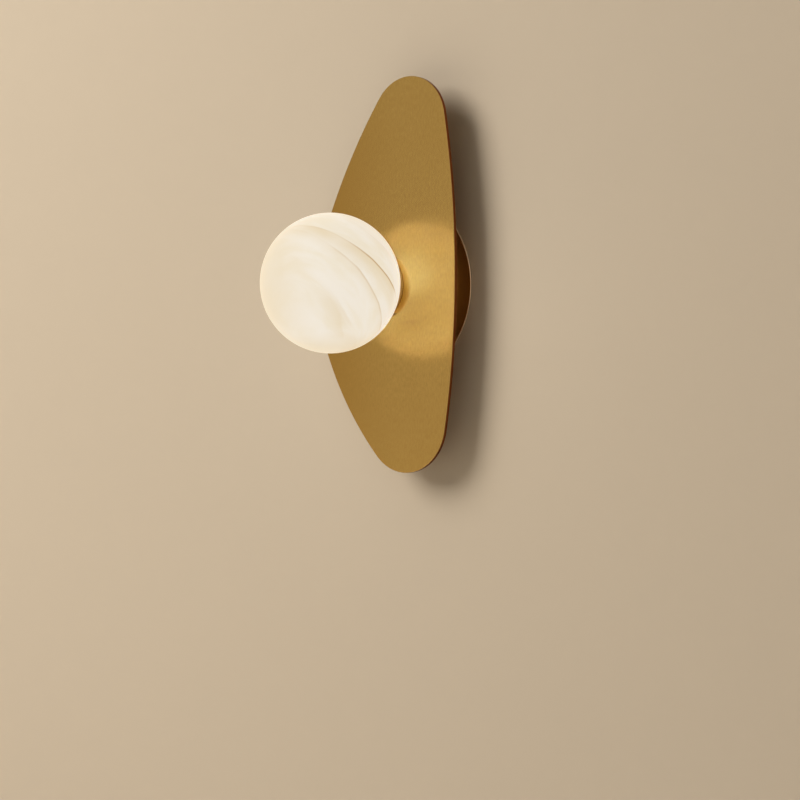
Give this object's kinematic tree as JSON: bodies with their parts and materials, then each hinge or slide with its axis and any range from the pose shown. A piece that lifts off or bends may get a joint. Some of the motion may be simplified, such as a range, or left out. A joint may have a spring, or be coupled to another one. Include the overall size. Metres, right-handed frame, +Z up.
{
  "type": "wall sconce",
  "caption": "Wall sconce: a flat pebble-shaped brass plate on a round canopy, with a small glass globe held in a cup; the globe and its bulb pull off forwards.",
  "frame": {"origin": "on the wall face, on the lamp axis, midway between the two wall slots", "axes": "+Z up the wall, +Y into the wall along the lamp axis, -Y into the room, +X to the right of someone facing the wall"},
  "size_m": [0.139, 0.127, 0.287],
  "materials": {
    "satin_brass": "satin, lightly brushed",
    "brass_screw": "satin",
    "contact_brass": "plain stamped",
    "bracket_steel": "zinc plated strip",
    "zinc_steel": "bright zinc plated",
    "opal_glass": "satin opal with cream veins",
    "frosted_glass": "frosted",
    "white_ceramic": "unglazed white ceramic",
    "light_post": "matt, with yellow light chips",
    "clear_silicone": "translucent",
    "black_rubber": "matt",
    "white_plastic": "moulded",
    "brown_lead": "smooth insulation",
    "blue_lead": "smooth insulation",
    "green_lead": "green insulation with a yellow stripe"
  },
  "bodies": {
    "fixture": {"wall_bracket": "bracket_steel", "cable_bush": "black_rubber", "terminal_block": "white_plastic", "terminal_inserts": "contact_brass", "terminal_clamp_screws": "zinc_steel", "terminal_block_screw": "zinc_steel", "earth_screw": "zinc_steel", "earth_washer": "zinc_steel", "earth_tag": "contact_brass", "canopy_earth_tag": "contact_brass", "earth_lead": "green_lead", "live_lead": "brown_lead", "neutral_lead": "blue_lead", "canopy": "satin_brass", "nipple": "zinc_steel", "canopy_washer": "zinc_steel", "canopy_nut": "zinc_steel", "locating_pin": "zinc_steel", "front_plate": "satin_brass", "cup": "satin_brass", "neck_seal": "clear_silicone", "holder_bracket": "bracket_steel", "holder_nut": "zinc_steel", "lampholder": "white_ceramic", "lampholder_contacts": "contact_brass", "holder_screws": "zinc_steel"},
    "globe": {"globe": "opal_glass"},
    "bulb": {"bulb_pins": "zinc_steel", "bulb_base": "white_ceramic", "bulb_capsule": "frosted_glass", "bulb_core": "light_post"},
    "canopy_screw_top": {"canopy_screw_top": "brass_screw"},
    "canopy_screw_bottom": {"canopy_screw_bottom": "brass_screw"},
    "globe_screw_upper": {"globe_screw_upper": "brass_screw"},
    "globe_screw_side": {"globe_screw_side": "brass_screw"},
    "globe_screw_lower": {"globe_screw_lower": "brass_screw"}
  },
  "joints": [
    {"name": "globe_pull", "type": "slide", "parent": "fixture", "child": "globe", "axis": [0, -1, 0], "range_m": [0, 0.065]},
    {"name": "bulb_pull", "type": "slide", "parent": "fixture", "child": "bulb", "axis": [0, -1, 0], "range_m": [0, 0.014]},
    {"name": "canopy_screw_top_undo", "type": "slide", "parent": "fixture", "child": "canopy_screw_top", "axis": [0, 0, 1], "range_m": [0, 0.005]},
    {"name": "canopy_screw_bottom_undo", "type": "slide", "parent": "fixture", "child": "canopy_screw_bottom", "axis": [0, 0, -1], "range_m": [0, 0.005]},
    {"name": "globe_screw_upper_undo", "type": "slide", "parent": "fixture", "child": "globe_screw_upper", "axis": [0.5, 0, 0.866], "range_m": [0, 0.002]},
    {"name": "globe_screw_side_undo", "type": "slide", "parent": "fixture", "child": "globe_screw_side", "axis": [-1, 0, 0], "range_m": [0, 0.002]},
    {"name": "globe_screw_lower_undo", "type": "slide", "parent": "fixture", "child": "globe_screw_lower", "axis": [0.5, 0, -0.866], "range_m": [0, 0.002]}
  ]
}
